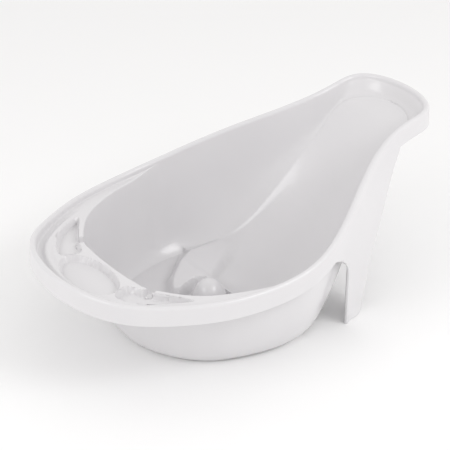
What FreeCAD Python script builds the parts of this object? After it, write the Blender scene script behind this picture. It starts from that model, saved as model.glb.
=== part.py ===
import FreeCAD, Part
import math
import os

# Baby bathtub: one injection-moulded shell with a recline slide, a foot ledge and two legs,
# and a plug that lifts out of the drain. Millimetres, +X towards the head end, +Z up,
# origin on the ground under the middle of the tub.

V = FreeCAD.Vector

# Driving dimensions of the whole tub.
LENGTH = 900.0
WALL = 3.0
SKIRT_DROP = 39.0
RIM_INSET = 15.0
RIM_ROLL = 6.0
SKIRT_SPLAY = 2.0

# Regions that follow different curves meet with this gap, so that they never overlap.
JOIN_GAP = 0.6

# Rim: distance along the tub, half width at the skirt's lower edge, and height of the rim's top.
RIM_STATIONS = (
    (-360, 192, 208),
    (-261, 244, 202.5),
    (-135, 273, 202),
    (0, 266, 219),
    (135, 205, 269.5),
    (261, 140, 315),
    (360, 122.5, 340),
)
FOOT_END_RADIUS = 330.0
FOOT_END_HEIGHT = 217.0
HEAD_END_RADIUS = 257.0
HEAD_END_HEIGHT = 352.0

# Crease: where the side wall meets the floor, then the edge of the slide, then the head tray.
CREASE_FOOT = -274.0
CREASE_HEAD = 415.0
CREASE_STATIONS = (
    (-215, 138, 3),
    (-150, 177, 3),
    (-80, 195, 3),
    (-20, 196, 3),
    (38, 181, 10),
    (84, 157, 28),
    (135, 133, 69),
    (205, 110, 150),
    (295, 97, 248),
    (360, 92, 299),
)
CREASE_FOOT_RADIUS = 170.0
CREASE_HEAD_RADIUS = 110.0
CREASE_HEAD_HEIGHT = 314.0

# Slide: height of its middle line above the ground, from the seat lip to the head tray.
SLIDE_STATIONS = (
    (-33, 27),
    (15, 11),
    (60, 14),
    (110, 34),
    (160, 75),
    (205, 124),
    (246, 169),
    (295, 228),
    (349, 280),
    (385, 303),
    (415, 314),
)
SLIDE_START = -33.0
TRAY_START = 230.0

# Foot ledge: its height, its width by the angle round the rim, and its soap dishes.
LEDGE_Z = 189.0
LEDGE_END = 80.0
LEDGE_WIDTHS = (
    (-18, 110),
    (0, 119),
    (18, 110),
    (28.5, 100),
    (42, 72),
    (48, 56),
    (54, 43),
    (62.5, 31),
    (69, 22),
    (80, 10),
)
DISH_DEPTH = 13.0
MIDDLE_DISH = (-369.0, 39.0, 78.0)
SIDE_DISH = ((-362, 104), (-344, 88), (-328, 94), (-316, 118), (-296, 150), (-270, 184), (-292, 178), (-334, 154))

# Seat: lobes beside the crotch bump, and the bump.
SEAT_TOP = 27.0
SEAT_LOBE = ((-33, 172), (-50, 160), (-73, 142), (-96, 121), (-113, 98), (-118, 80), (-112, 66), (-85, 66), (-60, 70))
SEAT_THROAT = (-44.0, 40.0)
BUMP_X = -82.0
BUMP_RADIUS = 35.0
BUMP_HEIGHT = 60.0

# Legs: outline in side view, from the front of the foot round to the back under the head.
LEG_FRONT = 95.0
LEG_ARCH = ((36, 180), (50, 174), (62, 165), (75, 155), (85, 143), (91, 130))
LEG_REAR = ((160, 0), (176, 49), (200, 103), (226, 136), (256, 180), (288, 237), (322, 296))
LEG_FOOT_Y = 223.0
LEG_FOOT_SLOPE = 0.36
LEG_SPARE = 8.0
LEG_FLANGE = 14.0
LEG_SHEET = (10.0, 345.0)
LEG_TOP = (22, 322)
LEG_TOP_STEP = 20

# Drain and its plug.
DRAIN_X = -195.0
DRAIN_R = 16.0
PLUG_GAP = 0.1
PLUG_DISC_R = 22.0
PLUG_DISC_H = 3.0
SEAL_FLANGE_R = 19.0
SEAL_FLANGE_H = 1.5
PLUG_STEM_R = 12.5
TAB_W = 16.0
TAB_H = 14.0
TAB_T = 3.6

# How finely the swept sheets are sampled, and a place beyond the tub's side and top.
STEPS = 36
TRAY_ANGLE = 150.0
BEYOND_SIDE = 320.0
BEYOND_TOP = 400.0
BEYOND_END = 20.0
HALF = LENGTH / 2


def spline(stations):
    """A smooth curve through stations, read at its first coordinate."""
    curve = Part.BSplineCurve()
    points = [V(*(list(station) + [0])[:3]) for station in stations]
    curve.interpolate(Points=points, Parameters=[float(station[0]) for station in stations])
    return curve


def share(angle):
    """How far along the tub an angle is: 0 at the foot, 1 at the head."""
    return (1 - math.cos(angle)) / 2


def rounded(stations, low, high, low_end, high_end):
    """Stations of an outline whose ends are round: (share, width over sine, height)."""
    span = high - low
    out = [(0, math.sqrt(low_end[0] * span / 2), low_end[1])]
    for x, width, height in stations:
        part = (x - low) / span
        sine = 2 * math.sqrt(part * (1 - part))
        out.append((part, width / sine, height))
    out.append((1, math.sqrt(high_end[0] * span / 2), high_end[1]))
    return spline(out)


RIM = rounded(
    RIM_STATIONS, -HALF, HALF, (FOOT_END_RADIUS, FOOT_END_HEIGHT), (HEAD_END_RADIUS, HEAD_END_HEIGHT)
)
CREASE = rounded(
    CREASE_STATIONS, CREASE_FOOT, CREASE_HEAD, (CREASE_FOOT_RADIUS, 3.0), (CREASE_HEAD_RADIUS, CREASE_HEAD_HEIGHT)
)
SLIDE = spline(SLIDE_STATIONS)
LEDGE = spline(LEDGE_WIDTHS)


def rim_point(angle):
    value = RIM.value(share(angle))
    return V(-HALF * math.cos(angle), value.y * math.sin(angle), value.z)


def crease_point(angle):
    part = share(angle)
    value = CREASE.value(part)
    x = CREASE_FOOT + (CREASE_HEAD - CREASE_FOOT) * part
    return V(x, value.y * math.sin(angle), value.z)


def rim_height(x):
    return RIM.value((x + HALF) / LENGTH).z


def rim_inset(angle, inset, drop):
    """A point inside the rim's outer edge, square to it in plan, and below it."""
    step = 0.01
    along = rim_point(min(angle + step, math.pi + step)) - rim_point(angle - step)
    along.z = 0
    along.normalize()
    return rim_point(angle) + V(along.y, -along.x, 0) * inset - V(0, 0, drop)


def wall_top(angle):
    """Top of the bath wall: the lip of the foot ledge, and beyond it the rim's inner edge."""
    if angle <= math.radians(LEDGE_END):
        lip = rim_inset(angle, RIM_INSET + LEDGE.value(math.degrees(angle)).y, 0)
        return V(lip.x, lip.y, LEDGE_Z - WALL)
    return rim_inset(angle, RIM_INSET, RIM_ROLL + WALL + JOIN_GAP)


def bezier(points, t):
    while len(points) > 1:
        points = [a * (1 - t) + b * t for a, b in zip(points, points[1:])]
    return points[0]


def wall_point(angle, t):
    """Inner face of the wall, from the crease (t = 0) up to its top (t = 1)."""
    low = crease_point(angle)
    high = wall_top(angle)
    out = V(high.x - low.x, high.y - low.y, 0)
    up = V(0, 0, high.z - low.z)
    fullness = 0.6 + 0.3 * math.sin(angle) ** 2
    shares = ((0, 0), (0.3, 0.05), (fullness - 0.12, 0.11), (fullness, 0.55), (1, 1))
    points = [low + out * across + up * climb for across, climb in shares]
    return bezier(points, t)


def offset_grid(grid, distance):
    """The same grid moved along its own normals, which stay in the middle plane where it starts there."""
    rows = len(grid)
    columns = len(grid[0])
    moved = []
    for i in range(rows):
        row = []
        for j in range(columns):
            along = grid[min(i + 1, rows - 1)][j] - grid[max(i - 1, 0)][j]
            across = grid[i][min(j + 1, columns - 1)] - grid[i][max(j - 1, 0)]
            normal = along.cross(across)
            if abs(grid[i][j].y) < 0.001:
                normal.y = 0
            normal.normalize()
            row.append(grid[i][j] + normal * distance)
        moved.append(row)
    return moved


def knots(count, degree):
    inner = count - degree
    return list(range(inner + 1)), [degree + 1] + [1] * (inner - 1) + [degree + 1]


def face(grid):
    """A spline face whose poles are the grid's points."""
    u_degree = min(3, len(grid) - 1)
    v_degree = min(3, len(grid[0]) - 1)
    u_knots, u_mults = knots(len(grid), u_degree)
    v_knots, v_mults = knots(len(grid[0]), v_degree)
    surface = Part.BSplineSurface()
    surface.buildFromPolesMultsKnots(grid, u_mults, v_mults, u_knots, v_knots, False, False, u_degree, v_degree)
    return surface.toShape()


def slab(inner, outer):
    """A closed solid between two grids of the same size."""
    faces = [face(inner), face(outer)]
    faces.append(face([inner[0], outer[0]]))
    faces.append(face([inner[-1], outer[-1]]))
    faces.append(face([[row[0] for row in inner], [row[0] for row in outer]]))
    faces.append(face([[row[-1] for row in inner], [row[-1] for row in outer]]))
    shell = Part.makeShell(faces)
    shell.sewShape()
    solid = Part.makeSolid(Part.Shell(shell.Faces))
    if solid.Volume < 0:
        solid.reverse()
    return solid


def angles(first, last, count):
    return [math.radians(first + (last - first) * i / count) for i in range(count + 1)]


def mirrored(shape):
    return shape.mirror(V(0, 0, 0), V(0, 1, 0))


def side_prism(outline, low_y, high_y):
    """A side-view outline of straight runs, (x, z), made a block across the tub."""
    points = [V(x, low_y, z) for x, z in outline]
    wire = Part.makePolygon(points + points[:1])
    return Part.Face(wire).extrude(V(0, high_y - low_y, 0))


def rim_half():
    """The rolled rim: a band round the top, open underneath."""
    outer = SKIRT_SPLAY
    sections = (
        (outer, RIM_ROLL + 2),
        (outer, 2.0),
        (outer + 2.5, 0.0),
        (RIM_INSET * 0.5, 0.0),
        (RIM_INSET - 2.5, 0.8),
        (RIM_INSET, RIM_ROLL * 0.6),
        (RIM_INSET, RIM_ROLL + WALL),
    )
    grid = [[rim_inset(a, inset, drop) for inset, drop in sections] for a in angles(0, 180, STEPS)]
    return slab(grid, offset_grid(grid, -WALL * 0.8))


def sheet_half(first, last, lower_edge, thickness):
    """A sheet hanging from the rim, between two angles, down to the line lower_edge gives."""
    grid = []
    for a in angles(first, last, STEPS):
        top = rim_inset(a, SKIRT_SPLAY, RIM_ROLL + 2)
        skirt = rim_inset(a, 0, SKIRT_DROP)
        low = lower_edge(a)
        grid.append([top, top * 0.5 + skirt * 0.5, skirt, skirt * 0.5 + low * 0.5, low])
    return slab(grid, offset_grid(grid, -thickness))


def below_skirt(angle):
    """A line a little under the skirt's lower edge."""
    return rim_inset(angle, -1, SKIRT_DROP + 30)


def foot_line(angle):
    """Lower edge of the leg's sheet, a little under the ground: a straighter line than the rim's."""
    x = rim_inset(angle, 0, 0).x
    return V(x, LEG_FOOT_Y - LEG_FOOT_SLOPE * (x - LEG_FRONT), -LEG_SPARE)


def skirt_half():
    """The upright band of the rim, as deep as the skirt."""
    sheet = sheet_half(0, 180, below_skirt, WALL)
    reach = HALF + BEYOND_END
    stations = [reach * (2 * i / STEPS - 1) for i in range(STEPS + 1)]
    lower = []
    for x in stations:
        inside = max(-HALF, min(HALF, x))
        lower.append((x, rim_height(inside) - SKIRT_DROP))
    return sheet.common(side_prism(lower + [(reach, BEYOND_TOP), (-reach, BEYOND_TOP)], -1, BEYOND_SIDE))


def leg_half():
    """One leg: a fin under the skirt with a flange along its front edge."""
    first, last = (math.degrees(math.acos(-x / HALF)) for x in LEG_SHEET)
    stations = range(LEG_TOP[1], LEG_TOP[0] - 1, -LEG_TOP_STEP)
    top = [(x, rim_height(x) - SKIRT_DROP - JOIN_GAP) for x in stations]
    outline = [(LEG_FRONT, 0)] + list(LEG_REAR[:-1]) + top + list(LEG_ARCH)
    fin = sheet_half(first, last, foot_line, WALL).common(side_prism(outline, 0, BEYOND_SIDE))
    top_x, top_z = LEG_ARCH[-1]
    strip = [(LEG_FRONT, 0), (LEG_FRONT + WALL, 0), (top_x + WALL, top_z), (top_x, top_z)]
    edge = side_prism(strip, 0, BEYOND_SIDE)
    flange = sheet_half(first, last, foot_line, LEG_FLANGE).common(edge)
    return fin.fuse(flange).removeSplitter()


def slide_point(x_angle, t):
    """Upper face of the seat and slide: dished across, with the round head tray at its end."""
    edge = crease_point(x_angle)
    tray = crease_point(math.radians(180 - (180 - TRAY_ANGLE) * abs(t)))
    tray_edge = crease_point(math.radians(TRAY_ANGLE))
    ease = max(0.0, min(1.0, (edge.x - TRAY_START) / (tray_edge.x - TRAY_START))) ** 2
    x = edge.x + ease * (tray.x - tray_edge.x)
    y = (1 - ease) * abs(t) * edge.y + ease * tray.y * edge.y / tray_edge.y
    middle = SLIDE.value(min(x, SLIDE_STATIONS[-1][0])).y
    rise = max(edge.z, middle + 2) - middle
    return V(x, math.copysign(y, t), middle + rise * t * t)


def crease_angle(x):
    part = (x - CREASE_FOOT) / (CREASE_HEAD - CREASE_FOOT)
    return math.degrees(math.acos(1 - 2 * part))


def recline_slide():
    across = [i / 8.0 - 1 for i in range(17)]
    grid = [[slide_point(a, t) for t in across] for a in angles(crease_angle(SLIDE_START), TRAY_ANGLE, 24)]
    return slab(grid, offset_grid(grid, -WALL))


def wall_half():
    grid = [[wall_point(a, t / 10.0) for t in range(11)] for a in angles(0, 180, STEPS)]
    return slab(grid, offset_grid(grid, WALL))


def spline_wire(points):
    curve = Part.BSplineCurve()
    curve.interpolate(points)
    return curve.toShape()


def plate(edges, thickness):
    return Part.Face(Part.Wire(edges)).extrude(V(0, 0, thickness))


def bath_floor():
    """The flat floor with the drain bore."""
    last = crease_angle(SLIDE_START)
    right = [crease_point(a) for a in angles(0, last, 12)]
    right = [V(p.x, p.y, 0) for p in right]
    left = [V(p.x, -p.y, 0) for p in right]
    edge = spline_wire(list(reversed(left)) + right[1:])
    floor = plate([edge, Part.makeLine(right[-1], left[-1])], WALL)
    return floor.cut(Part.makeCylinder(DRAIN_R, 4 * WALL, V(DRAIN_X, 0, -WALL)))


def closed_face(points, z):
    curve = Part.BSplineCurve()
    curve.interpolate(Points=[V(x, y, z) for x, y in points], PeriodicFlag=True)
    return Part.Face(Part.Wire(curve.toShape()))


def dish(outline, inner):
    """A soap dish: an outer cup and the hollow to take out of it."""
    cup = closed_face(outline, LEDGE_Z - DISH_DEPTH - WALL).extrude(V(0, 0, DISH_DEPTH + WALL))
    hollow = closed_face(inner, LEDGE_Z - DISH_DEPTH).extrude(V(0, 0, DISH_DEPTH + 2))
    return cup, hollow


def ellipse(centre, half_x, half_y, count=16):
    turn = 2 * math.pi / count
    return [(centre + half_x * math.cos(turn * i), half_y * math.sin(turn * i)) for i in range(count)]


def grown(outline, distance):
    """An outline moved outwards by a distance, point by point."""
    out = []
    count = len(outline)
    area = sum(a[0] * b[1] - a[1] * b[0] for a, b in zip(outline, outline[1:] + outline[:1]))
    sign = 1 if area > 0 else -1
    for i in range(count):
        before = outline[i - 1]
        after = outline[(i + 1) % count]
        along = V(after[0] - before[0], after[1] - before[1], 0)
        along.normalize()
        out.append((outline[i][0] + sign * along.y * distance, outline[i][1] - sign * along.x * distance))
    return out


def foot_ledge():
    """The shelf at the foot end, with a middle soap dish and one on each side."""
    turns = angles(0, LEDGE_END, 14)
    lift = V(0, 0, LEDGE_Z - WALL)
    outer = [V(p.x, p.y, 0) + lift for p in (rim_inset(a, RIM_INSET, 0) for a in turns)]
    lip = [V(p.x, p.y, 0) + lift for p in (wall_top(a) for a in turns)]
    far = [V(p.x, -p.y, p.z) for p in reversed(outer)]
    near = [V(p.x, -p.y, p.z) for p in reversed(lip)]
    ends = [Part.makeLine(outer[-1], lip[-1]), Part.makeLine(far[0], near[0])]
    ledge = plate([spline_wire(far + outer[1:]), ends[0], spline_wire(near + lip[1:]), ends[1]], WALL)
    middle = ellipse(*MIDDLE_DISH)
    side = [tuple(p) for p in SIDE_DISH]
    cups = [dish(grown(middle, WALL), middle), dish(grown(side, WALL), side)]
    cups.append(tuple(mirrored(shape) for shape in cups[1]))
    for cup, hollow in cups:
        ledge = ledge.fuse(cup)
    for cup, hollow in cups:
        ledge = ledge.cut(hollow)
    return ledge.removeSplitter()


def ledge_upstand():
    """The upright step from the ledge to the rim, on the +Y side."""
    grid = []
    for a in angles(0, LEDGE_END, 14):
        top = rim_inset(a, RIM_INSET, RIM_ROLL + WALL + JOIN_GAP)
        grid.append([top, V(top.x, top.y, (top.z + LEDGE_Z) / 2), V(top.x, top.y, LEDGE_Z)])
    return slab(grid, offset_grid(grid, -WALL))


def seat_pan():
    """The seat's two thigh lobes, which stand round the crotch bump."""
    throat_x, throat_y = SEAT_THROAT
    half = list(SEAT_LOBE) + [(throat_x, throat_y)]
    outline = half + [(throat_x, -throat_y)] + [(x, -y) for x, y in reversed(SEAT_LOBE)]
    points = [V(x, y, WALL) for x, y in outline]
    body = Part.Face(Part.makePolygon(points + points[:1])).extrude(V(0, 0, SEAT_TOP - WALL))
    inner = grown(outline, -WALL)
    points = [V(x, y, 0) for x, y in inner]
    return body.cut(Part.Face(Part.makePolygon(points + points[:1])).extrude(V(0, 0, SEAT_TOP - WALL)))


def seat_bump():
    """The round bump between the baby's legs."""
    outer = Part.makeSphere(BUMP_RADIUS, V(0, 0, 0))
    inner = Part.makeSphere(BUMP_RADIUS - WALL, V(0, 0, 0))
    shell = outer.cut(inner)
    shell = shell.common(Part.makeCylinder(BUMP_RADIUS + 1, BUMP_RADIUS + 1, V(0, 0, 0)))
    column = Part.makeCylinder(BUMP_RADIUS, BUMP_HEIGHT - BUMP_RADIUS, V(0, 0, BUMP_RADIUS - BUMP_HEIGHT))
    bore = Part.makeCylinder(BUMP_RADIUS - WALL, BUMP_HEIGHT, V(0, 0, BUMP_RADIUS - BUMP_HEIGHT))
    shell = shell.fuse(column.cut(bore)).removeSplitter()
    shell.translate(V(BUMP_X, 0, WALL + BUMP_HEIGHT - BUMP_RADIUS))
    return shell


def plug_cap():
    """The plug's hard cap: a disc, its stem and an upright tab to pull."""
    floor = WALL + SEAL_FLANGE_H
    disc = Part.makeCylinder(PLUG_DISC_R, PLUG_DISC_H, V(DRAIN_X, 0, floor))
    stem = Part.makeCylinder(PLUG_STEM_R, floor - 0.5, V(DRAIN_X, 0, 0.5))
    top = floor + PLUG_DISC_H
    tab = Part.makeBox(TAB_T, TAB_W, TAB_H - TAB_W / 2, V(DRAIN_X - TAB_T / 2, -TAB_W / 2, top))
    crown = Part.makeCylinder(TAB_W / 2, TAB_T, V(DRAIN_X - TAB_T / 2, 0, top + TAB_H - TAB_W / 2), V(1, 0, 0))
    return disc.fuse([stem, tab, crown]).removeSplitter()


def plug_seal():
    """The soft ring round the stem, with a flange that lies on the floor."""
    sleeve = Part.makeCylinder(DRAIN_R - PLUG_GAP, WALL - 0.5, V(DRAIN_X, 0, 0.5))
    flange = Part.makeCylinder(SEAL_FLANGE_R, SEAL_FLANGE_H, V(DRAIN_X, 0, WALL))
    bore = Part.makeCylinder(PLUG_STEM_R, 4 * WALL, V(DRAIN_X, 0, -WALL))
    return sleeve.fuse(flange).removeSplitter().cut(bore)


def largest(shape):
    """The largest solid of a shape, without the crumbs that a cut can leave."""
    return max(shape.Solids, key=lambda solid: solid.Volume)


def build():
    floor = bath_floor()
    ledge = foot_ledge()
    seat = seat_pan()
    slide = largest(recline_slide().cut(seat))
    rim = rim_half()
    wall = wall_half()
    for neighbour in (rim, ledge, slide, seat):
        wall = largest(wall.cut(neighbour))
    halves = {
        "rim": rim,
        "skirt": skirt_half(),
        "bath_wall": wall,
        "leg": leg_half(),
        "ledge_step": ledge_upstand(),
    }
    nodes = {}
    for name, shape in halves.items():
        nodes[name + "_left"] = shape
        nodes[name + "_right"] = mirrored(shape)
    nodes["bath_floor"] = floor
    nodes["recline_slide"] = slide
    nodes["foot_ledge"] = ledge
    nodes["seat_pan"] = seat
    nodes["seat_bump"] = seat_bump()
    nodes["plug_cap"] = plug_cap()
    nodes["plug_seal"] = plug_seal()
    return nodes


os.makedirs("parts", exist_ok=True)
for name, shape in build().items():
    print(name, "valid" if shape.isValid() else "NOT VALID", len(shape.Solids), round(shape.Volume / 1000, 1), "cm3")
    shape.exportStep("parts/" + name + ".step")
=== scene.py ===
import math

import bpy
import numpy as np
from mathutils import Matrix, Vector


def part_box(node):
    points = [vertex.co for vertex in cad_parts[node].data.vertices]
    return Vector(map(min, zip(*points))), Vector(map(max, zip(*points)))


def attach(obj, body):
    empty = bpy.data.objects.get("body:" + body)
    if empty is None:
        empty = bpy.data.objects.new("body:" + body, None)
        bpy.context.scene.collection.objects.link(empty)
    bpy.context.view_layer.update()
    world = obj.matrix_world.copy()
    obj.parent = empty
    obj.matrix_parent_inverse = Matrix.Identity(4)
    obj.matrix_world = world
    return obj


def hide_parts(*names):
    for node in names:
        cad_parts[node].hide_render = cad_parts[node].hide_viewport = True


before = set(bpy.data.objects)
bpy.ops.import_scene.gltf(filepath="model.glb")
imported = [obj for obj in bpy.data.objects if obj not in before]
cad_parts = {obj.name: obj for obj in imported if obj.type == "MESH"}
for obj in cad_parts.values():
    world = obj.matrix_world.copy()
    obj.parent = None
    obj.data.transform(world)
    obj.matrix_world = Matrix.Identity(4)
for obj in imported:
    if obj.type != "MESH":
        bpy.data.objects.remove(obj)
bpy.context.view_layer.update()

# %% [markdown]
# # A moulded baby bathtub
#
# The real tub is one injection moulding: a thin wall of glossy pearl-white plastic that turns over
# a rolled rim, falls in a skirt outside and a bath inside, and grows two legs under the head end.
# So the tub is made here as one open sheet, which gets its thickness at the very end, and the only
# other pieces are the drain plug's cap and its soft seal.

MM = 0.001

# %% [markdown]
# The tub's free curves are smooth lines through a few stations, like a batten bent round nails.
# A natural cubic spline does the same in numbers. It takes whole arrays of places at once, so one
# call gives a whole row of the moulding.

# %% A batten through stations
def curve_through(knots, values):
    """A function that reads the natural cubic spline through values at knots."""
    knots = np.array(knots, float)
    values = np.array(values, float)
    gaps = np.diff(knots)
    slopes = np.diff(values, axis=0) / gaps[:, None]
    count = len(knots)
    system = np.eye(count)
    right = np.zeros_like(values)
    for i in range(1, count - 1):
        system[i, i - 1:i + 2] = gaps[i - 1], 2 * (gaps[i - 1] + gaps[i]), gaps[i]
        right[i] = 6 * (slopes[i] - slopes[i - 1])
    bend = np.linalg.solve(system, right)

    def at(place):
        place = np.clip(place, knots[0], knots[-1])
        i = np.clip(np.searchsorted(knots, place) - 1, 0, count - 2)
        gap = gaps[i][..., None]
        b = ((place - knots[i]) / gaps[i])[..., None]
        a = 1 - b
        straight = a * values[i] + b * values[i + 1]
        return straight + ((a**3 - a) * bend[i] + (b**3 - b) * bend[i + 1]) * gap**2 / 6

    return at


def step_up(value, low, high):
    """0 below low, 1 above high, and a smooth rise between."""
    part = np.clip((value - low) / (high - low), 0, 1)
    return part * part * (3 - 2 * part)


arch = curve_through([0, 1, 2], [(0,), (1,), (0,)])
print("a batten from 0 over 1 to 0, halfway up:", round(float(arch(np.array(0.5))[0]), 3))

# %% [markdown]
# Two closed outlines carry the whole tub: the rim, and the crease where the side wall meets the
# floor, the slide and the head tray. Both have round ends, so each station's half width is divided
# by the half width of a circle there. What is left is a gentle curve that a spline can follow, and
# an angle from 0 at the foot to half a turn at the head then walks round the outline evenly.

# %% Rim and crease, in millimetres
HALF = 450.0
RIM_STATIONS = (
    (-360, 192, 208), (-261, 244, 202.5), (-135, 273, 202), (0, 266, 219),
    (135, 205, 269.5), (261, 140, 315), (360, 122.5, 340),
)
RIM_FOOT = (330, 217)
RIM_HEAD = (257, 352)
CREASE_FOOT = -274.0
CREASE_HEAD = 415.0
CREASE_STATIONS = (
    (-215, 138, 3), (-150, 177, 3), (-80, 195, 3), (-20, 196, 3), (38, 181, 10),
    (84, 157, 28), (135, 133, 69), (205, 110, 150), (295, 97, 248), (360, 92, 299),
)
CREASE_FOOT_END = (170, 3)
CREASE_HEAD_END = (110, 314)
FLOOR = 3.0
ANGLE_STEP = 0.01


def rounded(stations, low, high, low_end, high_end):
    """Reads an outline with round ends: (width over sine, height) by share of its length.

    Each end is its radius in plan and its height."""
    span = high - low
    rows = [(0, math.sqrt(low_end[0] * span / 2), low_end[1])]
    for x, width, height in stations:
        part = (x - low) / span
        rows.append((part, width / (2 * math.sqrt(part * (1 - part))), height))
    rows.append((1, math.sqrt(high_end[0] * span / 2), high_end[1]))
    return curve_through([row[0] for row in rows], [row[1:] for row in rows])


RIM = rounded(RIM_STATIONS, -HALF, HALF, RIM_FOOT, RIM_HEAD)
CREASE = rounded(CREASE_STATIONS, CREASE_FOOT, CREASE_HEAD, CREASE_FOOT_END, CREASE_HEAD_END)


def share(angle):
    """How far along an outline an angle is: 0 at the foot, 1 at the head."""
    return (1 - np.cos(angle)) / 2


def stack(x, y, z):
    return np.stack(np.broadcast_arrays(x, y, z), -1)


def rim_point(angle):
    value = RIM(share(angle))
    return stack(-HALF * np.cos(angle), value[..., 0] * np.sin(angle), value[..., 1])


def crease_point(angle):
    value = CREASE(share(angle))
    x = CREASE_FOOT + (CREASE_HEAD - CREASE_FOOT) * share(angle)
    return stack(x, value[..., 0] * np.sin(angle), value[..., 1])


def rim_inset(angle, inset, drop):
    """A point inside the rim's outer edge, square to it in plan, and below its top."""
    along = rim_point(angle + ANGLE_STEP) - rim_point(angle - ANGLE_STEP)
    along[..., 2] = 0
    along /= np.linalg.norm(along, axis=-1, keepdims=True)
    inwards = stack(along[..., 1] * inset, -along[..., 0] * inset, -np.asarray(drop, float))
    return rim_point(angle) + inwards


print("rim at the widest, mm:", np.round(rim_point(np.radians(107)), 1))

# %% [markdown]
# The foot end has a ledge between the rim and the bath. Its width is another batten, read by the
# angle in degrees. The ledge narrows along the sides and climbs until it is gone into the rim.

# %% The foot ledge's width and level
LEDGE_Z = 189.0
LEDGE_FADE = (math.radians(76), math.radians(89))
LEDGE_WIDTHS = (
    (-18, 110), (0, 119), (18, 110), (28.5, 100), (42, 72), (48, 56), (54, 43), (62.5, 31), (69, 22),
    (80, 10), (92, 6),
)
LEDGE = curve_through([a for a, w in LEDGE_WIDTHS], [(w,) for a, w in LEDGE_WIDTHS])
RIM_INSET = 15.0
RIM_INNER_DROP = 9.0


def ledge_edges(angle):
    """The ledge's width square to the rim, and its height."""
    gone = step_up(angle, *LEDGE_FADE)
    width = LEDGE(np.degrees(angle))[..., 0] * (1 - gone)
    rim_z = rim_point(angle)[..., 2] - RIM_INNER_DROP
    return width, LEDGE_Z * (1 - gone) + rim_z * gone, rim_z


print("ledge's width at the foot, mm:", round(float(ledge_edges(np.array(0.0))[0])))

# %% [markdown]
# One row of the moulding runs from the skirt's lower edge over the rim, across the ledge, down the
# bath wall and along the floor to the middle line. Each part of the row is a short function that
# gives its points for every angle at once, and the parts are laid end to end.

# %% Skirt and rolled rim
SKIRT_DROP = 39.0
SKIRT_STEPS = ((0.0, SKIRT_DROP), (0.2, 35.0), (0.8, 26.0), (1.5, 15.0))
ROLL_HALF = 6.5
ROLL_CENTRE = 8.5
ROLL_DROP = 8.0
ROLL_COLUMNS = 13
ROLL_SHAPE = 0.8


def skirt_columns(angle):
    return [rim_inset(angle, inset, drop) for inset, drop in SKIRT_STEPS]


def roll_columns(angle):
    """The rim's rolled top, a little lower on its inner side."""
    columns = []
    for turn in np.linspace(0, math.pi, ROLL_COLUMNS):
        inset = ROLL_CENTRE - ROLL_HALF * math.cos(turn)
        drop = ROLL_DROP * (1 - math.sin(turn) ** ROLL_SHAPE) + (turn / math.pi) ** 3
        columns.append(rim_inset(angle, inset, drop))
    return columns


print("skirt and roll:", len(SKIRT_STEPS) + ROLL_COLUMNS, "points in each row")

# %% Ledge land, with round corners at both edges
CORNER = 4.0
CORNER_TURNS = (0.35, 0.7, 1.0)
LAND_COLUMNS = 13


def ledge_columns(angle):
    """The ledge's points, and the last one, at the lip over the bath, apart."""
    width, level, rim_z = ledge_edges(angle)
    height = rim_z - level
    corner = np.minimum(CORNER, np.minimum(width / 2, height * 0.8))

    def at(out, z):
        place = rim_inset(angle, RIM_INSET + out, 0)
        return stack(place[..., 0], place[..., 1], z)

    columns = [at(0 * width, level + corner + (height - corner) * part) for part in (0.5, 0.0)]
    for turn in CORNER_TURNS:
        swing = turn * math.pi / 2
        columns.append(at(corner * (1 - math.cos(swing)), level + corner * (1 - math.sin(swing))))
    for part in np.linspace(0, 1, LAND_COLUMNS)[1:-1]:
        columns.append(at(corner + (width - 2 * corner) * part, level))
    for turn in (0.0, *CORNER_TURNS[:-1]):
        swing = turn * math.pi / 2
        columns.append(at(width - corner * (1 - math.sin(swing)), level - corner * (1 - math.cos(swing))))
    return columns, at(width, level - corner)


print("ledge:", len(ledge_columns(np.array([0.0]))[0]), "points in each row")


# %% [markdown]
# The bath wall leaves the floor nearly flat and then turns up, like the side of a bowl. A Bezier
# curve with five control points draws that from two numbers, how far out and how far up each point
# is. The wall is fuller at the sides, so its middle points move out there.

# %% Bath wall, full at the sides and steeper at the ends
WALL_COLUMNS = 20
END_FULLNESS = 0.6
SIDE_FULLNESS = 0.3
BEZIER_WEIGHTS = (1, 4, 6, 4, 1)


def wall_columns(angle, high):
    """The wall from its top, down to the crease."""
    low = crease_point(angle)
    out = (high - low) * (1, 1, 0)
    up = (high - low) * (0, 0, 1)
    full = (END_FULLNESS + SIDE_FULLNESS * np.sin(angle) ** 2)[..., None]
    shares = ((0, 0), (0.3, 0.05), (full - 0.12, 0.11), (full, 0.55), (1, 1))
    control = [low + out * across + up * climb for across, climb in shares]
    columns = []
    for t in np.linspace(1, 0, WALL_COLUMNS + 1):
        shares_of_t = [w * t**i * (1 - t) ** (4 - i) for i, w in enumerate(BEZIER_WEIGHTS)]
        columns.append(sum(point * part for point, part in zip(control, shares_of_t)))
    return columns


print("bath wall:", WALL_COLUMNS + 1, "points in each row")


# %% Floor and slide, from the crease to the middle line
FLOOR_COLUMNS = 26
FLOOR_FALL = 0.8


def floor_columns(angle):
    edge = crease_point(angle)
    columns = []
    for part in np.linspace(1, 0, FLOOR_COLUMNS + 1)[1:]:
        sink = FLOOR_FALL * edge[..., 1] * (1 - part)
        columns.append(stack(edge[..., 0], edge[..., 1] * part, np.maximum(edge[..., 2] - sink, FLOOR)))
    return columns


print("floor:", FLOOR_COLUMNS, "points in each row")

# %% [markdown]
# A grid is the start of the sheet. Its columns become one row of the moulding each and its rows
# the angles. The add operator makes it flat and square, and its vertices are then put in place by
# the functions above, because the tub's free surface has no primitive that it could be bent from.

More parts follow.
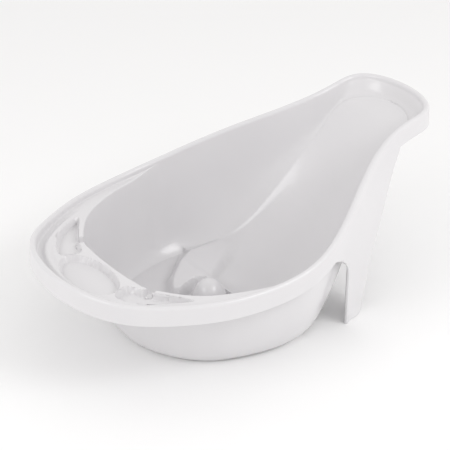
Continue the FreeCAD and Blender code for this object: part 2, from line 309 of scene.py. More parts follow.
# %% A flat grid laid on the rows
def laid_grid(name, points):
    """A mesh whose vertex (i, j) is points[i, j], in millimetres."""
    rows, columns = points.shape[0] - 1, points.shape[1] - 1
    bpy.ops.object.select_all(action="DESELECT")
    bpy.ops.mesh.primitive_grid_add(x_subdivisions=columns, y_subdivisions=rows, size=2)
    sheet = bpy.context.object
    sheet.name = name
    flat = np.zeros(len(sheet.data.vertices) * 3)
    sheet.data.vertices.foreach_get("co", flat)
    flat = flat.reshape(-1, 3)
    j = np.rint((flat[:, 0] + 1) / 2 * columns).astype(int)
    i = np.rint((flat[:, 1] + 1) / 2 * rows).astype(int)
    sheet.data.vertices.foreach_set("co", (points[i, j] * MM).ravel())
    sheet.data.update()
    return sheet


ROWS = 144
angles = np.linspace(0, math.pi, ROWS + 1)
ledge, lip = ledge_columns(angles)
columns = skirt_columns(angles) + roll_columns(angles) + ledge
columns += wall_columns(angles, lip) + floor_columns(angles)
sheet = laid_grid("tub_shell", np.stack(columns, 1))
print("tub sheet:", len(columns), "columns,", len(sheet.data.polygons), "faces in the half")

# %% [markdown]
# The legs are the same sheet carried on below the skirt. Their outline in side view is a patch
# between four edges: the skirt, a straight front with an arch, the ground, and a leaning back. The
# front and back edges turn inwards as flanges, which is what makes a thin plastic leg stiff.

# %% A leg that grows from the skirt
LEG_TOP = (20.0, 322.0)
LEG_FOOT_X = 96.0
ARCH_X = 91.0
ARCH_Z = 130.0
ARCH_ROUND = (1.5, 0.8)
LEG_REAR = ((0, 160), (49, 176), (103, 200), (136, 226), (180, 256), (237, 288), (300, 325))
REAR = curve_through([z for z, x in LEG_REAR], [(x,) for z, x in LEG_REAR])
FOOT_Y = 223.0
FOOT_SLOPE = 0.36
FOOT_BELOW = 8.0
FLARE = 4.0
FLARE_Z = 15.0
TOE = 14.0


def leg_sheet_y(x, z):
    """How far out the leg's sheet is at a place in side view."""
    top = rim_inset(np.arccos(np.clip(-x / HALF, -1, 1)), 0, SKIRT_DROP)
    low = FOOT_Y - FOOT_SLOPE * (x - LEG_FOOT_X)
    return low + (top[..., 1] - low) * (z + FOOT_BELOW) / (top[..., 2] + FOOT_BELOW)


def front_x(z, top_x, top_z):
    """The leg's front edge: an arch under the skirt, then straight down to the foot."""
    if z < ARCH_Z:
        return LEG_FOOT_X + (ARCH_X - LEG_FOOT_X) * z / ARCH_Z
    rise = (z - ARCH_Z) / (top_z - ARCH_Z)
    return top_x + (ARCH_X - top_x) * (1 - rise ** ARCH_ROUND[0]) ** ARCH_ROUND[1]


print("leg's front edge at half height, mm:", round(front_x(90.0, *LEG_TOP)))

# %% [markdown]
# The leg's front edge isn't a bare edge: the sheet is rolled round there into a bead, drawn as an
# open loop in plan. The bead and the rear flange grow out of nothing below the skirt.

# %% The leg's rows, from the skirt down to the foot
BEAD = (
    (7.0, -8.2), (3.0, -7.6), (0.6, -5.6), (0.0, -3.5), (0.6, -1.2), (2.4, 0.8), (5.0, 1.5), (7.6, 0.9),
    (9.4, -0.1),
)
BEAD_WIDTH = 11.0
FLANGE = 8.0
FLANGE_STEPS = (0.15, 0.5, 1.0)
GROWN = (0.05, 0.4)
LEG_ROWS = 34


def leg_points(top_angles):
    """The leg's sheet, with its front edge rolled round and its rear edge turned in."""
    top = rim_inset(top_angles, 0, SKIRT_DROP)
    first, last = top[0], top[-1]
    across = (top[:, 0] - first[0]) / (last[0] - first[0])
    rows = []
    for t in np.linspace(0, 1, LEG_ROWS + 1):
        turned = step_up(t, *GROWN)
        front_z, rear_z = first[2] * (1 - t), last[2] * (1 - t)
        edge_x = front_x(front_z, first[0], first[2])
        rear_x = last[0] if t == 0 else REAR(np.array(rear_z))[0]
        start_x = edge_x + BEAD_WIDTH * turned
        x = start_x + (rear_x - start_x) * across
        z = front_z + (rear_z - front_z) * across
        x += (1 - t) * (top[:, 0] - (first[0] + (last[0] - first[0]) * across))
        z += (1 - t) * (top[:, 2] - (first[2] + (last[2] - first[2]) * across))
        toe = np.clip((across - 0.6) / 0.4, 0, 1)
        z = z + TOE * toe**2.5 * t**8
        y = leg_sheet_y(x, z) + FLARE * (1 - step_up(z, 0, FLARE_Z)) * step_up(across, 0.05, 0.5)
        sheet_row = stack(x, y, z) if t > 0 else top
        bead_x = edge_x + np.array([dx for dx, dy in BEAD]) * turned
        bead_y = leg_sheet_y(bead_x, front_z) + np.array([dy for dx, dy in BEAD]) * turned
        bead_z = np.full(len(BEAD), front_z)
        bead = stack(bead_x, bead_y, bead_z) if t > 0 else np.repeat(first[None], len(BEAD), 0)
        flange = [sheet_row[-1] - (0, FLANGE * turned * part, 0) for part in FLANGE_STEPS]
        rows.append(np.concatenate([bead, sheet_row, flange]))
    return np.stack(rows, 1)


skirt_x = -HALF * np.cos(angles)
leg_angles = angles[(skirt_x >= LEG_TOP[0]) & (skirt_x <= LEG_TOP[1])]
leg = laid_grid("leg", leg_points(leg_angles))
print("leg:", len(leg.data.polygons), "faces")

# %% Legs and tub become one sheet
DOUBLES = 0.00004
bpy.ops.object.select_all(action="DESELECT")
sheet.select_set(True)
leg.select_set(True)
bpy.context.view_layer.objects.active = sheet
bpy.ops.object.join()
bpy.ops.object.mode_set(mode="EDIT")
bpy.ops.mesh.select_all(action="SELECT")
bpy.ops.mesh.remove_doubles(threshold=DOUBLES)
bpy.ops.object.mode_set(mode="OBJECT")
print("joined half:", len(sheet.data.vertices), "vertices")

# %% [markdown]
# The dishes in the ledge and the step of the seat are sharper than the grid. Their faces are picked
# by place and subdivided, as a modeller would add cuts only where detail comes. The new vertices
# are then pressed down or lifted by how far inside each outline they lie.

# %% More cuts where the detail comes
CUTS = 2


def coordinates(obj):
    """A mesh's vertices as rows of x, y and z, in millimetres."""
    flat = np.zeros(len(obj.data.vertices) * 3)
    obj.data.vertices.foreach_get("co", flat)
    return flat.reshape(-1, 3) / MM


def set_coordinates(obj, points):
    obj.data.vertices.foreach_set("co", (points * MM).ravel())
    obj.data.update()


def select_faces(obj, test):
    """Selects the faces whose centre, in millimetres, passes the test."""
    centres = np.zeros(len(obj.data.polygons) * 3)
    obj.data.polygons.foreach_get("center", centres)
    chosen = test(*(centres.reshape(-1, 3) / MM).T)
    bpy.ops.object.mode_set(mode="EDIT")
    bpy.ops.mesh.select_mode(type="FACE")
    bpy.ops.mesh.select_all(action="DESELECT")
    bpy.ops.object.mode_set(mode="OBJECT")
    obj.data.polygons.foreach_set("select", chosen)
    bpy.ops.object.mode_set(mode="EDIT")
    return int(chosen.sum())


def on_ledge(x, y, z):
    return (z > LEDGE_Z - 7) & (z < LEDGE_Z + 0.5) & (x < -235) & (y < 215)


def round_seat(x, y, z):
    return (z < 34) & (x > -146) & (x < 24)


for place in (on_ledge, round_seat):
    count = select_faces(sheet, place)
    bpy.ops.mesh.subdivide(number_cuts=CUTS)
    bpy.ops.object.mode_set(mode="OBJECT")
    print(place.__name__, count, "faces cut, now", len(sheet.data.polygons))


# %% How far inside an outline
def closed_curve(points, count=160):
    """A smooth closed line through points."""
    wrapped = list(points[-3:]) + list(points) + list(points[:3])
    line = curve_through(range(-3, len(points) + 3), wrapped)
    return line(np.linspace(0, len(points), count, endpoint=False))


def inside(x, y, outline):
    """Distance inside a closed outline, negative outside, and the direction to its nearest point."""
    best = np.full(x.shape, 1e9)
    nearest = np.zeros(x.shape + (2,))
    within = np.zeros(x.shape, bool)
    for a, b in zip(outline, np.roll(outline, -1, 0)):
        edge = b - a
        part = np.clip(((x - a[0]) * edge[0] + (y - a[1]) * edge[1]) / (edge @ edge), 0, 1)
        foot = stack(a[0] + edge[0] * part, a[1] + edge[1] * part, 0)[..., :2]
        gap = np.hypot(x - foot[..., 0], y - foot[..., 1])
        closer = gap < best
        best = np.where(closer, gap, best)
        nearest = np.where(closer[..., None], foot, nearest)
        crossing = (a[1] > y) != (b[1] > y)
        run = np.where(crossing, (y - a[1]) / np.where(crossing, b[1] - a[1], 1) * edge[0] + a[0], 0)
        within ^= crossing & (x < run)
    return np.where(within, best, -best), nearest


square = np.array([(0, 0), (10, 0), (10, 10), (0, 10)], float)
print("depth inside a 10 mm square, 3 mm from its side:", inside(np.array(3.0), np.array(5.0), square)[0])

# %% [markdown]
# Three soap dishes are pressed into the ledge: an oval one in the middle and a curved one on each
# side, which has a notch in its thin bath-side wall to let the water run off. A dish wall is steep,
# so the vertices nearest to it are first slid on to its top or bottom edge. Between the rim and the
# dishes the ledge swells into a low round ridge, which leaves a groove beside the rim.

# %% Soap dishes in the ledge
DISH_DEPTH = 14.0
DISH_WALL = 6.0
DISH_CROWN = 1.5
CROWN_REACH = 28
CUT_SPACING = 2.6
turns = np.linspace(0, 2 * math.pi, 120, endpoint=False)
MIDDLE_DISH = np.stack([-367 + 42 * np.cos(turns), 82 * np.sin(turns)], 1)
SIDE_DISH = closed_curve(np.array([
    (-371, 98), (-352, 80), (-333, 78), (-322, 98), (-314, 117), (-299, 140), (-279, 168), (-265, 192),
    (-276, 193), (-309, 177), (-334, 160), (-353, 137),
], float))
NOTCH_MIDDLE = (-311.0, 117.0)
NOTCH_ALONG = Vector((0.94, -0.34)).normalized()
NOTCH_HALF = 9.0
NOTCH_EDGE = (NOTCH_HALF - 1, NOTCH_HALF + 1.5)
NOTCH_START = (-14, -12)
NOTCH_SILL = 1.0
RIDGE_INSET = 34.0
RIDGE_HALF = 10.0
RIDGE_RISE = 4.0
RIDGE_FADE = (-310, -235)
RIM_OUTLINE = rim_point(np.linspace(-math.pi, math.pi, 240, endpoint=False))[:, :2]


def slid_to_edges(x, y, gap, nearest, width, spacing):
    """Moves vertices that lie on a steep wall to its top or bottom edge."""
    on_wall = (gap > width / 2 - spacing) & (gap < width / 2 + spacing)
    target = np.where(gap < width / 2, np.minimum(gap, 0), np.maximum(gap, width))
    away = stack(x - nearest[..., 0], y - nearest[..., 1], 0)[..., :2]
    scale = np.where(on_wall & (np.abs(gap) > 1e-4), target / np.where(np.abs(gap) > 1e-4, gap, 1), 1)
    return nearest[..., 0] + away[..., 0] * scale, nearest[..., 1] + away[..., 1] * scale


def near_ledge(x, y, z):
    """The ledge and the top of the wall below its lip, which the notch cuts."""
    return (x > -425) & (x < -235) & (y < 200) & (z > 176) & (z < LEDGE_Z + 0.5)


points = coordinates(sheet)
ledge_set = on_ledge(*points.T) | near_ledge(*points.T)
x, y, z = points[ledge_set].T
from_rim, _ = inside(x, y, RIM_OUTLINE)
swell = (1 - step_up(np.abs(from_rim - RIDGE_INSET), 0, RIDGE_HALF)) * (1 - step_up(x, *RIDGE_FADE))
z = z + RIDGE_RISE * swell * (z > LEDGE_Z - 1)
for outline in (MIDDLE_DISH, SIDE_DISH):
    gap, nearest = inside(x, y, outline)
    x, y = slid_to_edges(x, y, gap, nearest, DISH_WALL, CUT_SPACING / 2)
    gap, nearest = inside(x, y, outline)
    pressed = np.clip(gap / DISH_WALL, 0, 1)
    crowned = DISH_CROWN * step_up(gap, DISH_WALL, CROWN_REACH)
    z = z - (DISH_DEPTH - DISH_CROWN) * pressed - crowned
across = (x - NOTCH_MIDDLE[0]) * -NOTCH_ALONG.y + (y - NOTCH_MIDDLE[1]) * NOTCH_ALONG.x
along = (x - NOTCH_MIDDLE[0]) * NOTCH_ALONG.x + (y - NOTCH_MIDDLE[1]) * NOTCH_ALONG.y
notch = (1 - step_up(np.abs(across), *NOTCH_EDGE)) * step_up(along, *NOTCH_START)
notch_z = LEDGE_Z - DISH_DEPTH + NOTCH_SILL
z = np.where(z > notch_z, z + (notch_z - z) * notch, z)
points[ledge_set] = np.stack([x, y, z], 1)
set_coordinates(sheet, points)
print("dishes pressed in:", int(ledge_set.sum()), "vertices of the ledge")

# %% [markdown]
# The seat is a low step in the bath floor, shaped like two thighs round a recess with a round bump
# in it, and behind the step the floor dips and then climbs as the slide. All of it is a height over
# the floor. Where it meets the side wall, the higher of the two shows, with a small fillet between.

# %% Seat step, bump and slide
SLIDE_STATIONS = (
    (-140, 27), (-60, 27), (-40, 27), (-24, 17), (-8, 11), (15, 10), (60, 14), (110, 34), (160, 75),
    (205, 124), (246, 169), (295, 228), (349, 280), (385, 303), (415, 314),
)
SLIDE = curve_through([s[0] for s in SLIDE_STATIONS], [(s[1],) for s in SLIDE_STATIONS])
SEAT_HALF = (
    (60, 260), (-2, 205), (-33, 176), (-73, 143), (-96, 127), (-118, 97), (-133, 74), (-133, 57),
    (-118, 50), (-92, 58), (-66, 63), (-52, 52), (-48, 25),
)
TOP_HALF = (
    (64, 236), (6, 172), (-28, 154), (-54, 136), (-95, 103), (-113, 82), (-122, 66), (-117, 60),
    (-105, 62), (-90, 67), (-64, 72), (-46, 60), (-40, 28),
)
BUMP = (-81.0, 0.0)
BUMP_R = 40.0
BUMP_H = 62.0
PLATFORM = 27.0
PLATFORM_FALL = 18.0
FALL_Y = (160, 195)
FALL_X = (-40, 15)
POCKET_HALF = 46.0
POCKET_FLARE = 0.55
POCKET_SIDE = 24.0
POCKET_X = -30.0
PLATFORM_FILLET = 8.0
STEP_FILLET = 5.0
BUMP_FILLET = 6.0
BELOW = -20


def both_sides(half):
    """A half outline and its mirror image, closed."""
    far = [(x, -y) for x, y in reversed(half)]
    return np.array(list(half) + far, float)


def soft_max(a, b, fillet):
    """The higher of two heights, with a fillet where they cross."""
    blend = np.maximum(fillet - np.abs(a - b), 0) / fillet
    return np.maximum(a, b) + blend * blend * fillet / 4


def seat_height(x, y):
    """Height of the seat, its bump and the slide above the ground."""
    part = np.clip((x - CREASE_FOOT) / (CREASE_HEAD - CREASE_FOOT), 0, 1)
    edge = CREASE(part)
    half = np.maximum(edge[..., 0] * 2 * np.sqrt(part * (1 - part)), 1)
    middle = SLIDE(x)[..., 0]
    rise = np.maximum(edge[..., 1], middle + 2) - middle
    dished = middle + rise * np.clip(np.abs(y) / half, 0, 1) ** 2
    pocket_y = POCKET_HALF + POCKET_FLARE * (x - POCKET_X)
    pocket = step_up(pocket_y + POCKET_SIDE - np.abs(y), 0, POCKET_SIDE)
    level = PLATFORM - PLATFORM_FALL * step_up(np.abs(y), *FALL_Y) * step_up(x, *FALL_X)
    top = dished * pocket + soft_max(dished, level, PLATFORM_FILLET) * (1 - pocket)
    out_of_base, _ = inside(x, y, both_sides(SEAT_HALF))
    out_of_top, _ = inside(x, y, both_sides(TOP_HALF))
    base_gap = np.maximum(out_of_base, 0)
    top_gap = np.maximum(-out_of_top, 0)
    climb = np.where(x > 0, 1, base_gap / np.maximum(base_gap + top_gap, 1e-6))
    height = FLOOR + (top - FLOOR) * climb
    reach = np.hypot(x - BUMP[0], y - BUMP[1]) / BUMP_R
    bump = FLOOR + BUMP_H * (1 - np.clip(reach, 0, 1) ** 2.2) ** 0.6
    return np.where(climb > 0, height, BELOW), np.where(reach < 1, bump, BELOW)


def place_interior(points):
    """Lifts the floor and the foot of the wall to the seat, the bump and the slide."""
    x, y, z = points.T
    part = np.clip((x - CREASE_FOOT) / (CREASE_HEAD - CREASE_FOOT), 0, 1)
    edge = CREASE(part)
    edge_y = edge[:, 0] * 2 * np.sqrt(part * (1 - part))
    on_floor = (y < edge_y + 1e-3) & (x > CREASE_FOOT) & (x < CREASE_HEAD + 1e-3) & (z < edge[:, 1] + 1)
    on_wall = (x > -60) & (x < 90) & (z < 60) & (y < 215)
    chosen = on_floor | on_wall
    height, bump = seat_height(x[chosen], y[chosen])
    lifted = soft_max(z[chosen], height, STEP_FILLET)
    points[chosen, 2] = soft_max(lifted, bump, BUMP_FILLET)
    return int(chosen.sum())


points = coordinates(sheet)
print("vertices of the floor and slide:", place_interior(points))
set_coordinates(sheet, points)

# %% [markdown]
# Now the half is mirrored, seams are merged and the faces are turned outwards. Only then does the
# Solidify modifier give the wall its 3 mm, on the hidden side, so the visible side keeps its shape.
# The drain is bored last, by a cylinder in a Boolean modifier.

# %% Mirror, thickness and drain
WALL = 3 * MM
DRAIN = (-0.195, 0.0)
DRAIN_R = 0.016
CREASE_ANGLE = math.radians(42)


def apply_modifier(obj, kind, **settings):
    """Adds a modifier, sets it and applies it."""
    bpy.ops.object.select_all(action="DESELECT")
    obj.select_set(True)
    bpy.context.view_layer.objects.active = obj
    modifier = obj.modifiers.new(kind.lower(), kind)
    for name, value in settings.items():
        setattr(modifier, name, value)
    bpy.ops.object.modifier_apply(modifier=modifier.name)


apply_modifier(sheet, "MIRROR", use_axis=(False, True, False), use_clip=True, merge_threshold=DOUBLES)
bpy.ops.object.mode_set(mode="EDIT")
bpy.ops.mesh.select_all(action="SELECT")
bpy.ops.mesh.remove_doubles(threshold=DOUBLES)
bpy.ops.mesh.dissolve_degenerate(threshold=DOUBLES)
bpy.ops.mesh.normals_make_consistent(inside=False)
bpy.ops.object.mode_set(mode="OBJECT")
floor_faces = [
    f for f in sheet.data.polygons
    if abs(f.center.x - DRAIN[0]) < DRAIN_R and abs(f.center.y) < DRAIN_R and f.center.z < 0.01
]
upwards = sum(f.normal.z for f in floor_faces)
print("floor faces point", "up" if upwards > 0 else "down")
if upwards < 0:
    bpy.ops.object.mode_set(mode="EDIT")
    bpy.ops.mesh.flip_normals()
    bpy.ops.object.mode_set(mode="OBJECT")
apply_modifier(sheet, "SOLIDIFY", thickness=WALL, offset=-1, use_even_offset=False)

# %% The drain bore
bpy.ops.object.select_all(action="DESELECT")
bpy.ops.mesh.primitive_cylinder_add(vertices=64, radius=DRAIN_R, depth=0.03, location=(*DRAIN, 0.0))
cutter = bpy.context.object
apply_modifier(sheet, "BOOLEAN", object=cutter, operation="DIFFERENCE", solver="EXACT")
bpy.data.objects.remove(cutter)
bpy.ops.object.select_all(action="DESELECT")
sheet.select_set(True)
bpy.context.view_layer.objects.active = sheet
bpy.ops.object.shade_smooth_by_angle(angle=CREASE_ANGLE)
triangles = sum(len(f.vertices) - 2 for f in sheet.data.polygons)
print("tub shell:", triangles, "triangles")

# %% [markdown]
# ## Pearl-white plastic
#
# The plastic is a glossy white with a little pearl in it, which gives it a cool lilac-grey shade.
# Its skin is never quite flat: there is a fine orange peel from the mould and a broad, faint
# unevenness where the melt flowed. Both are noise that works through the bump and the roughness.

# %% A moulded plastic finish
FLOW_SCALE = 9.0
PEEL_SCALE = 700.0
PEEL_HEIGHT = 0.0004
ROUGHNESS_SPREAD = 0.03
COAT_ROUGHNESS = 0.12


def moulded_plastic(name, colour, shade, roughness, coat, bump=0.06):
    """Glossy or matte moulded plastic with flow marks and orange peel."""
    material = bpy.data.materials.new(name)
    material.use_nodes = True
    nodes, links = material.node_tree.nodes, material.node_tree.links
    shader = nodes["Principled BSDF"]
    place = nodes.new("ShaderNodeTexCoord")
    flow = nodes.new("ShaderNodeTexNoise")
    flow.inputs["Scale"].default_value = FLOW_SCALE
    flow.inputs["Detail"].default_value = 3.0
    links.new(place.outputs["Object"], flow.inputs["Vector"])
    tone = nodes.new("ShaderNodeValToRGB")
    tone.color_ramp.elements[0].position = 0.3
    tone.color_ramp.elements[0].color = (*shade, 1)
    tone.color_ramp.elements[1].position = 0.7
    tone.color_ramp.elements[1].color = (*colour, 1)
    links.new(flow.outputs["Fac"], tone.inputs["Fac"])
    links.new(tone.outputs["Color"], shader.inputs["Base Color"])
    skin = nodes.new("ShaderNodeMapRange")
    skin.inputs["To Min"].default_value = roughness - ROUGHNESS_SPREAD
    skin.inputs["To Max"].default_value = roughness + ROUGHNESS_SPREAD
    links.new(flow.outputs["Fac"], skin.inputs["Value"])
    links.new(skin.outputs["Result"], shader.inputs["Roughness"])
    peel = nodes.new("ShaderNodeTexNoise")
    peel.inputs["Scale"].default_value = PEEL_SCALE
    peel.inputs["Detail"].default_value = 2.0
    links.new(place.outputs["Object"], peel.inputs["Vector"])
    relief = nodes.new("ShaderNodeBump")
    relief.inputs["Strength"].default_value = bump
    relief.inputs["Distance"].default_value = PEEL_HEIGHT
    links.new(peel.outputs["Fac"], relief.inputs["Height"])
    links.new(relief.outputs["Normal"], shader.inputs["Normal"])
    shader.inputs["Coat Weight"].default_value = coat
    shader.inputs["Coat Roughness"].default_value = COAT_ROUGHNESS
    return material


# %% The shell gets its finish and takes the CAD nodes' place
pearl = moulded_plastic("pearl_white_plastic", (0.712, 0.702, 0.714), (0.70, 0.69, 0.703), 0.3, 0.5)
sheet.data.materials.clear()
sheet.data.materials.append(pearl)
TUB_NODES = ["bath_floor", "recline_slide", "foot_ledge", "seat_pan", "seat_bump"]
for region in ("rim", "skirt", "bath_wall", "leg", "ledge_step"):
    TUB_NODES += [region + "_left", region + "_right"]
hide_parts(*TUB_NODES)
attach(sheet, "tub")
print("the shell stands for", len(TUB_NODES), "CAD nodes")

# %% [markdown]
# ## The drain plug
#
# The plug is two pieces: a hard cap with an upright tab to pull, and a soft ring pressed on its
# stem, which fills the drain bore. Both start as a short cylinder. The cap's underside is inset and
# extruded into the stem, its top is inset and sunk so that a lip stays round it, and its sharp edges
# are bevelled, because a moulded edge that fingers touch is never sharp.

# %% The cap's disc, lip and stem
def select_edges(obj, test):
    """Selects the edges whose two ends, in millimetres, pass the test."""
    places = coordinates(obj)
    ends = np.array([tuple(edge.vertices) for edge in obj.data.edges])
    chosen = test(places[ends[:, 0]], places[ends[:, 1]])
    bpy.ops.object.mode_set(mode="EDIT")
    bpy.ops.mesh.select_mode(type="EDGE")
    bpy.ops.mesh.select_all(action="DESELECT")
    bpy.ops.object.mode_set(mode="OBJECT")
    obj.data.edges.foreach_set("select", chosen)
    bpy.ops.object.mode_set(mode="EDIT")
    return int(chosen.sum())


def disc(name, radius, low, high):
    """A short upright cylinder over the drain, with its place in its mesh."""
    bpy.ops.object.select_all(action="DESELECT")
    bpy.ops.mesh.primitive_cylinder_add(
        vertices=96, radius=radius, depth=high - low, location=(*DRAIN, (low + high) / 2)
    )
    piece = bpy.context.object
    piece.name = name
    bpy.ops.object.transform_apply(location=True, rotation=True, scale=True)
    return piece


def round_edges(obj, level, radius, offset):
    """Bevels the circle of edges at one height and one radius, all in millimetres."""
    def on_circle(a, b):
        reach = np.hypot(a[:, 0] - DRAIN[0] / MM, a[:, 1] - DRAIN[1] / MM)
        flat = (np.abs(a[:, 2] - level) < 0.05) & (np.abs(b[:, 2] - level) < 0.05)
        return flat & (np.abs(reach - radius) < 0.1)

    count = select_edges(obj, on_circle)
    bpy.ops.mesh.bevel(offset=offset * MM, segments=3, affect="EDGES")
    bpy.ops.object.mode_set(mode="OBJECT")
    return count


cap_low, cap_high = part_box("plug_cap")
seal_low, seal_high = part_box("plug_seal")
CAP_R = (cap_high[1] - cap_low[1]) / 2
SEAL_R = (seal_high[1] - seal_low[1]) / 2
STEM_R = 12.5 * MM
DISC_LOW = seal_high[2]
DISC_HIGH = DISC_LOW + 3 * MM
DISC_ROUND = 0.7
LIP_WIDTH = 3.5 * MM
LIP_RISE = 0.8 * MM

cap = disc("plug_cap_piece", CAP_R, DISC_LOW, DISC_HIGH)
select_faces(cap, lambda x, y, z: z < DISC_LOW / MM + 0.1)
bpy.ops.mesh.inset(thickness=CAP_R - STEM_R)
bpy.ops.mesh.extrude_region_move(TRANSFORM_OT_translate={"value": (0, 0, cap_low[2] - DISC_LOW)})
bpy.ops.object.mode_set(mode="OBJECT")
select_faces(cap, lambda x, y, z: z > DISC_HIGH / MM - 0.1)
bpy.ops.mesh.inset(thickness=LIP_WIDTH, depth=-LIP_RISE)
bpy.ops.object.mode_set(mode="OBJECT")
for level in (DISC_HIGH / MM, DISC_LOW / MM):
    print("cap edges rounded:", round_edges(cap, level, CAP_R / MM, DISC_ROUND))

# %% The cap's pull tab
TAB_THICK = 3.6 * MM
TAB_WIDE = 16 * MM
CROWN_R = 7.8 * MM
TAB_ROOT = 0.5 * MM
TAB_ROUND = 0.7 * MM
PLUG_CREASE_ANGLE = math.radians(35)
tab_low = DISC_HIGH - LIP_RISE - TAB_ROOT
tab_high = cap_high[2]
bpy.ops.object.select_all(action="DESELECT")
bpy.ops.mesh.primitive_cube_add(
    size=1, location=(*DRAIN, (tab_low + tab_high) / 2), scale=(TAB_THICK, TAB_WIDE, tab_high - tab_low)
)
tab = bpy.context.object
bpy.ops.object.transform_apply(location=True, rotation=True, scale=True)


def across_top(a, b):
    """The tab's two short top edges, which run along X."""
    top = tab_high / MM - 0.1
    return (a[:, 2] > top) & (b[:, 2] > top) & (np.abs(a[:, 1] - b[:, 1]) < 0.1)


select_edges(tab, across_top)
bpy.ops.mesh.bevel(offset=CROWN_R, segments=10, affect="EDGES")
bpy.ops.object.mode_set(mode="OBJECT")
apply_modifier(tab, "BEVEL", width=TAB_ROUND, segments=3, limit_method="ANGLE", angle_limit=math.radians(50))
apply_modifier(cap, "BOOLEAN", object=tab, operation="UNION", solver="EXACT")
bpy.data.objects.remove(tab)
bpy.ops.object.shade_smooth_by_angle(angle=PLUG_CREASE_ANGLE)
print("cap:", len(cap.data.polygons), "faces")

# %% [markdown]
# The seal is a flange with a sleeve under it and a hole through both. The same inset and extrude
# make the sleeve. The two faces in the middle are then deleted and their edges bridged, which lines
# the hole.

# %% The seal ring
SLEEVE_R = 15.9 * MM
FLANGE_THICK = 1.5 * MM
SEAL_ROUND = 0.4
flange_low = seal_high[2] - FLANGE_THICK
seal = disc("plug_seal_piece", SEAL_R, flange_low, seal_high[2])
select_faces(seal, lambda x, y, z: z < flange_low / MM + 0.1)
bpy.ops.mesh.inset(thickness=SEAL_R - SLEEVE_R)
bpy.ops.mesh.extrude_region_move(TRANSFORM_OT_translate={"value": (0, 0, seal_low[2] - flange_low)})
bpy.ops.mesh.inset(thickness=SLEEVE_R - STEM_R)
bpy.ops.mesh.delete(type="FACE")
bpy.ops.object.mode_set(mode="OBJECT")
select_faces(seal, lambda x, y, z: z > seal_high[2] / MM - 0.1)
bpy.ops.mesh.inset(thickness=SEAL_R - STEM_R)
bpy.ops.mesh.delete(type="FACE")
bpy.ops.mesh.select_mode(type="EDGE")
bpy.ops.mesh.select_all(action="DESELECT")
bpy.ops.mesh.select_non_manifold()
bpy.ops.mesh.bridge_edge_loops()
bpy.ops.mesh.select_all(action="SELECT")
bpy.ops.mesh.normals_make_consistent(inside=False)
bpy.ops.object.mode_set(mode="OBJECT")
round_edges(seal, seal_high[2] / MM, SEAL_R / MM, SEAL_ROUND)
round_edges(seal, seal_low[2] / MM, SLEEVE_R / MM, SEAL_ROUND)
bpy.ops.object.shade_smooth_by_angle(angle=PLUG_CREASE_ANGLE)
print("seal:", len(seal.data.polygons), "faces")

# %% [markdown]
# The cap is the same kind of plastic in a slightly bluer white. The seal is a soft grey rubber:
# matte, with a coarser skin and no coat, so the two read as different materials side by side.

# %% The plug's finishes
cap_finish = moulded_plastic("plug_cap_plastic", (0.78, 0.78, 0.80), (0.75, 0.75, 0.775), 0.3, 0.3)
seal_finish = moulded_plastic("plug_seal_rubber", (0.30, 0.30, 0.32), (0.26, 0.26, 0.28), 0.65, 0.0, 0.2)
for piece, node, finish in ((cap, "plug_cap", cap_finish), (seal, "plug_seal", seal_finish)):
    piece.data.materials.clear()
    piece.data.materials.append(finish)
    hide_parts(node)
    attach(piece, "plug")
print("the plug's pieces:", cap.name, "and", seal.name)

# %% [markdown]
# ## Studio
#
# A white floor and a bright room give almost all the light, so white plastic keeps soft shading and
# no hard shadow. The room is a little darker overhead than round the sides, which brings out the
# hollow of the bath. Two big soft lamps add the glints: a weak one at the foot and one at the front.

# %% A white floor
PAPER = (0.94, 0.94, 0.94, 1)
FLOOR_GAP = 0.0005
bpy.ops.object.select_all(action="DESELECT")
bpy.ops.mesh.primitive_plane_add(size=40, location=(0, 0, -FLOOR_GAP))
floor = bpy.context.object
floor.name = "studio_floor"
paper = bpy.data.materials.new("studio_paper")
paper.use_nodes = True
paper.node_tree.nodes["Principled BSDF"].inputs["Base Color"].default_value = PAPER
paper.node_tree.nodes["Principled BSDF"].inputs["Roughness"].default_value = 0.9
floor.data.materials.append(paper)
print("floor:", floor.name)

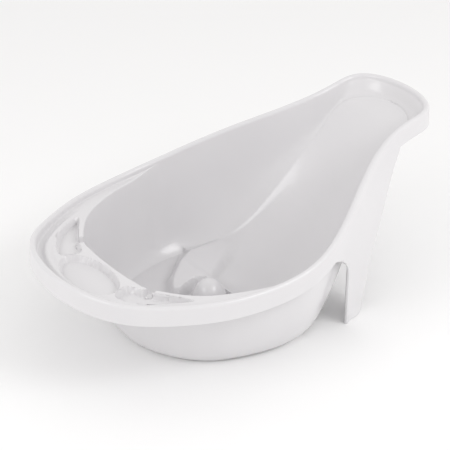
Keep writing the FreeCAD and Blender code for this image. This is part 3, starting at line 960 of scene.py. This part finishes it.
# %% A bright room
ROOM_LOW = 1.05
ROOM_HIGH = 0.79
ROOM_COLOUR = (1.0, 0.99, 0.985, 1)
world = bpy.context.scene.world or bpy.data.worlds.new("studio")
bpy.context.scene.world = world
world.use_nodes = True
sky = world.node_tree.nodes
wires = world.node_tree.links
direction = sky.new("ShaderNodeTexCoord")
parts = sky.new("ShaderNodeSeparateXYZ")
fade = sky.new("ShaderNodeMapRange")
fade.inputs["From Min"].default_value = 0.25
fade.inputs["From Max"].default_value = 0.85
fade.inputs["To Min"].default_value = ROOM_LOW
fade.inputs["To Max"].default_value = ROOM_HIGH
wires.new(direction.outputs["Generated"], parts.inputs["Vector"])
wires.new(parts.outputs["Z"], fade.inputs["Value"])
wires.new(fade.outputs["Result"], sky["Background"].inputs["Strength"])
sky["Background"].inputs["Color"].default_value = ROOM_COLOUR
print("room strength:", ROOM_LOW, "round the sides,", ROOM_HIGH, "overhead")


# %% Two soft lamps
def soft_lamp(name, place, target, size, power):
    data = bpy.data.lights.new(name, "AREA")
    data.shape = "RECTANGLE"
    data.size, data.size_y = size
    data.energy = power
    lamp = bpy.data.objects.new(name, data)
    bpy.context.collection.objects.link(lamp)
    lamp.location = place
    lamp.rotation_euler = (Vector(target) - Vector(place)).to_track_quat("-Z", "Y").to_euler()
    return lamp


soft_lamp("foot_lamp", (-2.0, 0.1, 1.5), (0, 0, 0.1), (1.2, 0.7), 8)
soft_lamp("front_lamp", (0.8, -1.9, 2.0), (0.1, 0, 0.1), (1.2, 0.9), 17)
print("lamps:", [lamp.name for lamp in bpy.data.lights])

# %% [markdown]
# A long lens from far away keeps the tub's sides nearly parallel, as in a catalogue picture. The
# camera stands at the foot end and looks down into the bath.

# %% Camera
CAMERA_PLACE = (-1.6412, -2.0497, 1.7118)
CAMERA_TARGET = (-0.0398, 0.0, 0.1785)
camera_data = bpy.data.cameras.new("camera")
camera_data.lens = 120
camera_data.sensor_width = 36
camera = bpy.data.objects.new("camera", camera_data)
bpy.context.collection.objects.link(camera)
camera.location = CAMERA_PLACE
camera.rotation_euler = (Vector(CAMERA_TARGET) - Vector(CAMERA_PLACE)).to_track_quat("-Z", "Y").to_euler()
bpy.context.scene.camera = camera
bpy.context.scene.view_settings.view_transform = "Standard"

print("camera lens, mm:", camera_data.lens)
